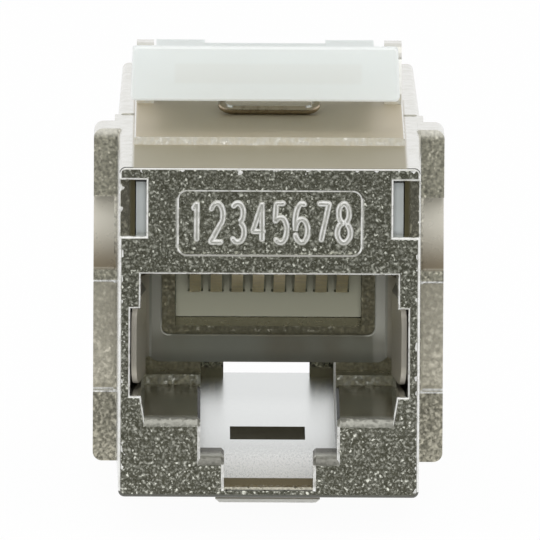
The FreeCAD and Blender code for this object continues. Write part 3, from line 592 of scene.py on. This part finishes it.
def new_piece(name, vertices, faces, material):
    """A smooth-shaded mesh object from an array of points in metres."""
    mesh = bpy.data.meshes.new(name)
    mesh.from_pydata(vertices.tolist(), [], faces)
    mesh.shade_smooth()
    mesh.materials.append(material)
    piece = bpy.data.objects.new(name, mesh)
    bpy.context.scene.collection.objects.link(piece)
    return piece


def make_numerals():
    """Across a stroke the bead is an ellipse above the panel's floor and a shallow one below it."""
    turn = np.linspace(0, 2 * math.pi, STROKE_SIDES, endpoint=False)
    sideways = np.cos(turn) * STROKE_HALF_WIDTH
    upward = np.where(np.sin(turn) > 0, STROKE_RISE, BURIED_RISE) * np.sin(turn)
    strokes = numeral_strokes()
    beads = []
    faces = []
    first = 0
    for index, stroke in enumerate(strokes):
        path = even_path(stroke * (NUMERAL_WIDTH, NUMERAL_HEIGHT), STROKE_SPACING)
        from_middle = index - (len(strokes) - 1) / 2
        path += (from_middle * NUMERAL_PITCH, NUMERAL_MIDDLE - NUMERAL_HEIGHT / 2)
        taper = end_taper(len(path), STROKE_SPACING, STROKE_HALF_WIDTH)
        x, z, rise = sweep(path, sideways, upward, taper)
        beads.append(np.stack([x, PANEL_FLOOR - rise, z], axis=2).reshape(-1, 3))
        faces += tube_faces(len(path), STROKE_SIDES, first)
        first += len(path) * STROKE_SIDES
    return new_piece("panel_numerals", np.concatenate(beads), faces, zinc)


numerals = make_numerals()
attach(numerals, "housing")


# Contact carriers: white mouldings that hold the eight contacts of each jack over the plug's cavity.
# The board between them is glass fibre under a green mask, hidden once the shells are closed.
# Painted shade: the white moulding is painted grey for the shade inside the jack, and its inner wall is
# painted warmer for the shade there and the gold contacts' reflection.
CARRIER_COLOUR = (0.46, 0.49, 0.49, 1)
CARRIER_SHADE = (0.42, 0.445, 0.44, 1)
CARRIER_ROUGHNESS = (0.42, 0.58)
FLOW_SIZE = 1.5 * MM
SKIN_SIZE = 0.08 * MM
WALL_COLOUR = (0.50, 0.50, 0.39, 1)
WALL_RANGE = (5 * MM, 9 * MM)
BOARD_COLOUR = (0.03, 0.19, 0.08, 1)
BOARD_ROUGHNESS = 0.35
TRACK_COLOUR = (0.10, 0.32, 0.15, 1)
TRACK_PITCH = 1.02 * MM
TRACK_EDGE = (0.16 * MM, 0.12 * MM)
WANDER_SIZE = 3 * MM
WANDER_WIDTH = 1.2 * MM


def carrier_plastic():
    """Faint flow marks, painted warmer on the inner wall as shade and the gold contacts' reflection, and a
    satin skin, rougher and smoother in fine spots.
    """
    material, tree, surface = new_material("carrier_plastic")
    spot = texture_of(tree)["Object"]
    flow = noise(tree, spot, FLOW_SIZE)["Fac"]
    tone = mix_colours(tree, step(tree, flow, *MID_NOISE), CARRIER_COLOUR, CARRIER_SHADE)
    wall = step(tree, parts_of(tree, spot)["Y"], *WALL_RANGE)
    feed(tree, surface.inputs["Base Color"], mix_colours(tree, wall, tone, WALL_COLOUR))
    skin = noise(tree, spot, SKIN_SIZE)["Fac"]
    feed(tree, surface.inputs["Roughness"], step(tree, skin, *MID_NOISE, *CARRIER_ROUGHNESS))
    return material


def solder_mask():
    """Green mask, lighter where a copper track runs under it, every pitch along x shifted by noise."""
    material, tree, surface = new_material("board_mask", roughness=BOARD_ROUGHNESS)
    spot = texture_of(tree)["Object"]
    wander = maths(tree, "MULTIPLY", noise(tree, spot, WANDER_SIZE)["Fac"], WANDER_WIDTH)
    shifted = maths(tree, "ADD", parts_of(tree, spot)["X"], wander)
    track = step(tree, maths(tree, "PINGPONG", shifted, TRACK_PITCH / 2), *TRACK_EDGE)
    feed(tree, surface.inputs["Base Color"], mix_colours(tree, track, BOARD_COLOUR, TRACK_COLOUR))
    return material


moulding = carrier_plastic()
for carrier in ("front_carrier", "rear_carrier"):
    set_finish(carrier, moulding)
set_finish("circuit_board", solder_mask())


# Ground clips: nickel strip stamped and bent in one piece, pushed in against the partition.
# The two bowed leaves press on the sides of a shielded plug.
CLIP_COLOUR = (0.57, 0.59, 0.53, 1)
CLIP_STAIN = (0.48, 0.47, 0.40, 1)
CLIP_COLOURS = [
    ("beside_window", (0.58, 0.585, 0.53, 1)),
    ("leaf", (0.70, 0.66, 0.58, 1)),
]
CLIP_ROUGHNESS = (0.36, 0.46)
ROLLING_SIZE = 0.06 * MM
ROLLING_STRETCH = (0.12, 0.12, 1)
STAIN_SIZE = 2.5 * MM
STAIN_RANGE = (0.4, 0.75)
CLIP_PLACES = {
    "leaf": [("along", 11.3, 11)],
    "leaf_inside": ["leaf", ("faces_out", -0.3, -0.6)],
    "cut_edge": [("faces_end", 0.97, 0.85), "no leaf_inside"],
    "corner": [("off_middle", 4.6, 4.9), ("height", 7, 6.5)],
    "sheared": ["either", "leaf", "corner"],
    "light_edge": ["cut_edge", ("sheared", 0, 1, 0.3, 0.8)],
    "fold": [("off_middle", 5.65, 5.8), "no leaf"],
    "light_fold": [("fold", 0, 1, 0.08, 0.45)],
    "light_leaf": ["leaf", 0.25],
    "beside_window": [("off_middle", 4.9, 5.3), "no leaf"],
    "light_side": ["beside_window", ("right", -1, 1, 0.3, 0.75), ("height", 5.6, 6.8, 0.3, 1)],
    "scatter": ["either", "light_fold", "light_edge", "light_leaf", "light_side"],
    "low_shade": [("height", 4.8, 5.5, 0.72, 1.05)],
}


def nickel_strip():
    """Rolling lines along the strip, from noise drawn out level, in the roughness; stains in the tone."""
    material, tree, surface = new_material("nickel_strip")
    texture = texture_of(tree)
    gauges = gauges_of(tree, texture)
    side = maths(tree, "SIGN", gauges["right"].reading)
    outward = maths(tree, "MULTIPLY", gauges["faces_right"].reading, side)
    masks = soft_places(tree, gauges | {"faces_out": Gauge(outward, 1)}, CLIP_PLACES)
    feed(tree, surface.inputs["Metallic"], maths(tree, "SUBTRACT", 1.0, masks["scatter"]))
    drawn_out = vectors(tree, "MULTIPLY", texture["Object"], ROLLING_STRETCH)
    lines = noise(tree, drawn_out, ROLLING_SIZE, detail=3)["Fac"]
    feed(tree, surface.inputs["Roughness"], step(tree, lines, *MID_NOISE, *CLIP_ROUGHNESS))
    stain = step(tree, noise(tree, texture["Object"], STAIN_SIZE)["Fac"], *STAIN_RANGE)
    tone = lay_on(tree, masks, mix_colours(tree, stain, CLIP_COLOUR, CLIP_STAIN), CLIP_COLOURS)
    feed(tree, surface.inputs["Base Color"], vectors(tree, "SCALE", tone, masks["low_shade"]))
    return material


strip = nickel_strip()
for clip in ("front_ground_clip", "rear_ground_clip"):
    set_finish(clip, strip)


# Contacts: bronze strip, gold plated, eight to a jack; tails in the board, tips free in the mouth.
# Each bends forward round the carrier's front and slopes back down over the plug's cavity.
CONTACTS_PER_JACK = 8
GOLD_COLOUR = (0.86, 0.73, 0.44, 1)
BRONZE_COLOUR = (0.74, 0.62, 0.40, 1)
GOLD_METALLIC = 0.85
GOLD_ROUGHNESS = (0.28, 0.42)
THIN_SIZE = 0.8 * MM
THIN_RANGE = (0.35, 0.7)
DRAWING_SIZE = 0.05 * MM
DRAWING_STRETCH = (1, 0.08, 0.3)


def gold_plating():
    """Thin plating: patches where the bronze shows through, and draw lines along the strip."""
    material, tree, surface = new_material("gold_plating", metallic=GOLD_METALLIC)
    spot = texture_of(tree)["Object"]
    thin = step(tree, noise(tree, spot, THIN_SIZE, detail=3)["Fac"], *THIN_RANGE)
    feed(tree, surface.inputs["Base Color"], mix_colours(tree, thin, GOLD_COLOUR, BRONZE_COLOUR))
    drawn_out = vectors(tree, "MULTIPLY", spot, DRAWING_STRETCH)
    lines = noise(tree, drawn_out, DRAWING_SIZE)["Fac"]
    feed(tree, surface.inputs["Roughness"], step(tree, lines, *MID_NOISE, *GOLD_ROUGHNESS))
    return material


gold = gold_plating()
for end in ("front", "rear"):
    for number in range(1, CONTACTS_PER_JACK + 1):
        set_finish(f"{end}_contact_{number}", gold)


# Latch: a white moulding with a hook bar in front and a press tab behind it, on two stubs
# in the rear shell's ears. The bar is cored out from behind; where its wall is thin, the core's shade is
# painted faintly on its face.
LATCH_COLOUR = (0.918, 0.948, 0.942, 1)
LATCH_ROUGHNESS = (0.3, 0.4)
LATCH_TRANSLUCENCE = 0.45
# Painted shade where the core shows through the bar's thin wall.
CORE_COLOUR = (0.80, 0.77, 0.725, 1)
CORE_SHARE = 0.3
CORE_X = -0.08 * MM
CORE_Z = 19.35 * MM
SINK_SIZE = 2 * MM
SINK_RANGE = (0.35, 0.8)
SINK_SHARE = 0.1
LATCH_PLACES = {
    "cored": [("along", 9.3, 9.2), ("off_core_x", 4.65, 4.45), ("off_core_z", 0.59, 0.39)],
    "edge": [("faces_end", 0.95, 0.8), ("along", 9.45, 9.35)],
}


def blend_shaders(tree, share, first, second):
    """Gives the material's output this share of the second shader and the rest of the first."""
    mix = tree.nodes.new("ShaderNodeMixShader")
    share_input, first_input, second_input = mix.inputs
    feed(tree, share_input, share)
    tree.links.new(first.outputs[0], first_input)
    tree.links.new(second.outputs[0], second_input)
    tree.links.new(mix.outputs[0], tree.nodes["Material Output"].inputs["Surface"])


def latch_plastic():
    """White, with a painted warm shade where the wall of the bar is thin, painted white highlights on the
    bar's front edges, and faint sink marks.
    """
    material, tree, surface = new_material("latch_plastic")
    texture = texture_of(tree)
    gauges = gauges_of(tree, texture)
    gauges["off_core_x"] = Gauge(off_from(tree, gauges["right"].reading, CORE_X), MM)
    gauges["off_core_z"] = Gauge(off_from(tree, gauges["height"].reading, CORE_Z), MM)
    masks = soft_places(tree, gauges, LATCH_PLACES)
    sink = noise(tree, texture["Object"], SINK_SIZE)["Fac"]
    core = maths(tree, "MULTIPLY", masks["cored"], CORE_SHARE)
    shade = maths(tree, "ADD", core, step(tree, sink, *SINK_RANGE, 0, SINK_SHARE))
    tone = mix_colours(tree, shade, LATCH_COLOUR, CORE_COLOUR)
    feed(tree, surface.inputs["Base Color"], mix_colours(tree, masks["edge"], tone, WHITE))
    feed(tree, surface.inputs["Roughness"], step(tree, sink, *MID_NOISE, *LATCH_ROUGHNESS))
    through = tree.nodes.new("ShaderNodeBsdfTranslucent")
    through.inputs["Color"].default_value = LATCH_COLOUR
    blend_shaders(tree, LATCH_TRANSLUCENCE, surface, through)
    return material


set_finish("keystone_latch", latch_plastic())


# Latch spring: a U of round steel wire; its bar lies across the deck and its legs slope up
# under the latch's arm, so pressing the latch flattens it.
WIRE_COLOUR = (0.46, 0.39, 0.29, 1)
WIRE_SHADE = (0.30, 0.25, 0.18, 1)
WIRE_ROUGHNESS = (0.1, 0.2)
SCALE_SIZE = 0.25 * MM
SCALE_RANGE = (0.4, 0.8)
# Painted glints: pale matt spots at the bends.
GLINT_COLOUR = (0.95, 0.95, 0.93, 1)
GLINT_METALLIC = 0.2
GLINT_PLACE = 1.93 * MM
WIRE_PLACES = {
    "painted_glint": [("off_bend", 0.2, 0.06), ("faces_up", 0.45, 0.75), ("along", 15.5, 15.2)],
}
WIRE_RADIUS = 0.22 * MM
WIRE_SIDES = 20
WIRE_SPACING = 0.03 * MM
SPRING_BAR = 3.5 * MM
SPRING_BEND = 0.55 * MM
SPRING_REACH = 3 * MM
SPRING_FRONT = 14.8 * MM
SPRING_TILT = math.radians(20)
DECK_HEIGHT = 16.49 * MM


def drawn_wire():
    """Dark drawn steel with patches of scale, and painted glints as pale matt spots at the bends."""
    material, tree, surface = new_material("drawn_wire")
    texture = texture_of(tree)
    gauges = gauges_of(tree, texture)
    gauges["off_bend"] = Gauge(off_from(tree, gauges["off_middle"].reading, GLINT_PLACE), MM)
    painted_glint = soft_places(tree, gauges, WIRE_PLACES)["painted_glint"]
    scale = noise(tree, texture["Object"], SCALE_SIZE, detail=3)["Fac"]
    tone = mix_colours(tree, step(tree, scale, *SCALE_RANGE), WIRE_COLOUR, WIRE_SHADE)
    feed(tree, surface.inputs["Base Color"], mix_colours(tree, painted_glint, tone, GLINT_COLOUR))
    feed(tree, surface.inputs["Roughness"], step(tree, scale, *MID_NOISE, *WIRE_ROUGHNESS))
    feed(tree, surface.inputs["Metallic"], step(tree, painted_glint, 0, 1, 1, GLINT_METALLIC))
    return material


def make_spring():
    """A circle carried along leg, bend, bar, bend and leg, in a plane that slopes up from the deck."""
    leg = SPRING_BAR / 2 + SPRING_BEND
    bend = arc((-SPRING_BAR / 2, SPRING_BEND), (SPRING_BEND, SPRING_BEND), 180, 270)
    left = np.vstack([[(-leg, SPRING_REACH)], bend])
    right = left[::-1] * (-1, 1)
    path = even_path(np.vstack([left, right]), WIRE_SPACING)
    turn = np.linspace(0, 2 * math.pi, WIRE_SIDES, endpoint=False)
    taper = end_taper(len(path), WIRE_SPACING, WIRE_RADIUS)
    x, reach, lift = sweep(path, np.cos(turn) * WIRE_RADIUS, np.sin(turn) * WIRE_RADIUS, taper)
    y = SPRING_FRONT + reach * math.cos(SPRING_TILT) - lift * math.sin(SPRING_TILT)
    z = DECK_HEIGHT + WIRE_RADIUS + reach * math.sin(SPRING_TILT) + lift * math.cos(SPRING_TILT)
    vertices = np.stack([x, y, z], axis=2).reshape(-1, 3)
    return new_piece("wire_spring", vertices, tube_faces(len(path), WIRE_SIDES, 0), drawn_wire())


spring = make_spring()
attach(spring, "housing")
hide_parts("latch_spring")
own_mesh(spring)


# Studio: a pale floor under the hook, a white tent with a darker side where the camera stands,
# a large soft lamp above, two fills that only dull surfaces catch, and the camera above the front.
FLOOR_COLOUR = (0.9, 0.9, 0.9, 1)
FLOOR_ROUGHNESS = 0.8
FLOOR_FRONT = -2.5 * MM
FLOOR_BACK = 300 * MM
FLOOR_HALF_WIDTH = 150 * MM
FLOOR_GLOW = 0.95
TENT_BRIGHT = (0.87, 0.88, 0.88, 1)
TENT_DARK = (0.062, 0.061, 0.046, 1)
DARK_TOWARDS_CAMERA = (-0.2, -0.98)
DARK_BELOW = (0.65, 0.25)
LAMP_AIM = Vector((0, 12 * MM, 9 * MM))
# Name, place, width, power in watts, and whether mirrors show it.
LAMPS = [
    ("top_lamp", (0, 0, 400 * MM), 350 * MM, 0.15, True),
    ("front_fill", (0, -600 * MM, 220 * MM), 200 * MM, 1.6, False),
    ("low_fill", (0, -600 * MM, 30 * MM), 200 * MM, 0.92, False),
]
PIXELS_ACROSS = 540
PIXELS_PER_MM = 20.76
CAMERA_DISTANCE = 915 * MM
CAMERA_AZIMUTH = math.radians(-0.24)
CAMERA_ELEVATION = math.radians(9)
CAMERA_ROLL = math.radians(0.32)
LOOK_AT = Vector((0.02 * MM, 0, 11.13 * MM))
SENSOR = 36


def rays(tree):
    """Masks for rays straight from the camera, and for those by way of a mirror or a clear material."""
    path = tree.nodes.new("ShaderNodeLightPath").outputs
    mirrored = maths(tree, "MAXIMUM", path["Is Glossy Ray"], path["Is Transmission Ray"])
    return path["Is Camera Ray"], mirrored


def make_floor():
    """A level sheet at the lowest point: lit paper, mostly glowing white where it is seen."""
    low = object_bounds()[0][2]
    corners = np.array([
        (-FLOOR_HALF_WIDTH, FLOOR_FRONT, low),
        (FLOOR_HALF_WIDTH, FLOOR_FRONT, low),
        (FLOOR_HALF_WIDTH, FLOOR_BACK, low),
        (-FLOOR_HALF_WIDTH, FLOOR_BACK, low),
    ])
    material, tree, surface = new_material("floor_paper", roughness=FLOOR_ROUGHNESS)
    surface.inputs["Base Color"].default_value = FLOOR_COLOUR
    glow = tree.nodes.new("ShaderNodeEmission")
    seen = chain(tree, "MAXIMUM", rays(tree))
    blend_shaders(tree, maths(tree, "MULTIPLY", seen, FLOOR_GLOW), surface, glow)
    new_piece("floor", corners, [(0, 1, 2, 3)], material)


def make_tent():
    """White all round for the camera; for other rays it darkens towards the camera's side."""
    world = bpy.data.worlds.new("tent")
    bpy.context.scene.world = world
    world.use_nodes = True
    tree = world.node_tree
    background = tree.nodes["Background"]
    direction = parts_of(tree, texture_of(tree)["Generated"])
    near_camera = step(tree, direction["Y"], *DARK_TOWARDS_CAMERA, course="LINEAR")
    shade = maths(tree, "MULTIPLY", near_camera, step(tree, direction["Z"], *DARK_BELOW))
    from_camera, mirrored = rays(tree)
    tent = mix_colours(tree, shade, mix_colours(tree, mirrored, TENT_BRIGHT, WHITE), TENT_DARK)
    feed(tree, background.inputs["Color"], mix_colours(tree, from_camera, tent, WHITE))
    background.inputs["Strength"].default_value = 1


def make_lamp(name, place, width, power, glossy):
    """A square lamp turned to the block, which the camera never sees."""
    data = bpy.data.lights.new(name, "AREA")
    data.size = width
    data.energy = power
    lamp = bpy.data.objects.new(name, data)
    lamp.location = place
    lamp.rotation_euler = (LAMP_AIM - Vector(place)).to_track_quat("-Z", "Y").to_euler()
    lamp.visible_camera = False
    lamp.visible_glossy = glossy
    bpy.context.scene.collection.objects.link(lamp)


def make_camera():
    """Stands back from the point it looks at; sensor times distance over the width seen is the lens."""
    data = bpy.data.cameras.new("camera")
    data.sensor_width = SENSOR
    data.lens = SENSOR * CAMERA_DISTANCE / (PIXELS_ACROSS / PIXELS_PER_MM * MM)
    level = math.cos(CAMERA_ELEVATION)
    back = Vector((
        math.sin(CAMERA_AZIMUTH) * level,
        -math.cos(CAMERA_AZIMUTH) * level,
        math.sin(CAMERA_ELEVATION),
    ))
    camera = bpy.data.objects.new("camera", data)
    camera.location = LOOK_AT + back * CAMERA_DISTANCE
    aim = (-back).to_track_quat("-Z", "Y").to_matrix() @ Matrix.Rotation(CAMERA_ROLL, 3, "Z")
    camera.rotation_euler = aim.to_euler()
    bpy.context.scene.collection.objects.link(camera)
    bpy.context.scene.camera = camera


make_floor()
make_tent()
for lamp in LAMPS:
    make_lamp(*lamp)
make_camera()
bpy.context.scene.view_settings.view_transform = "Standard"
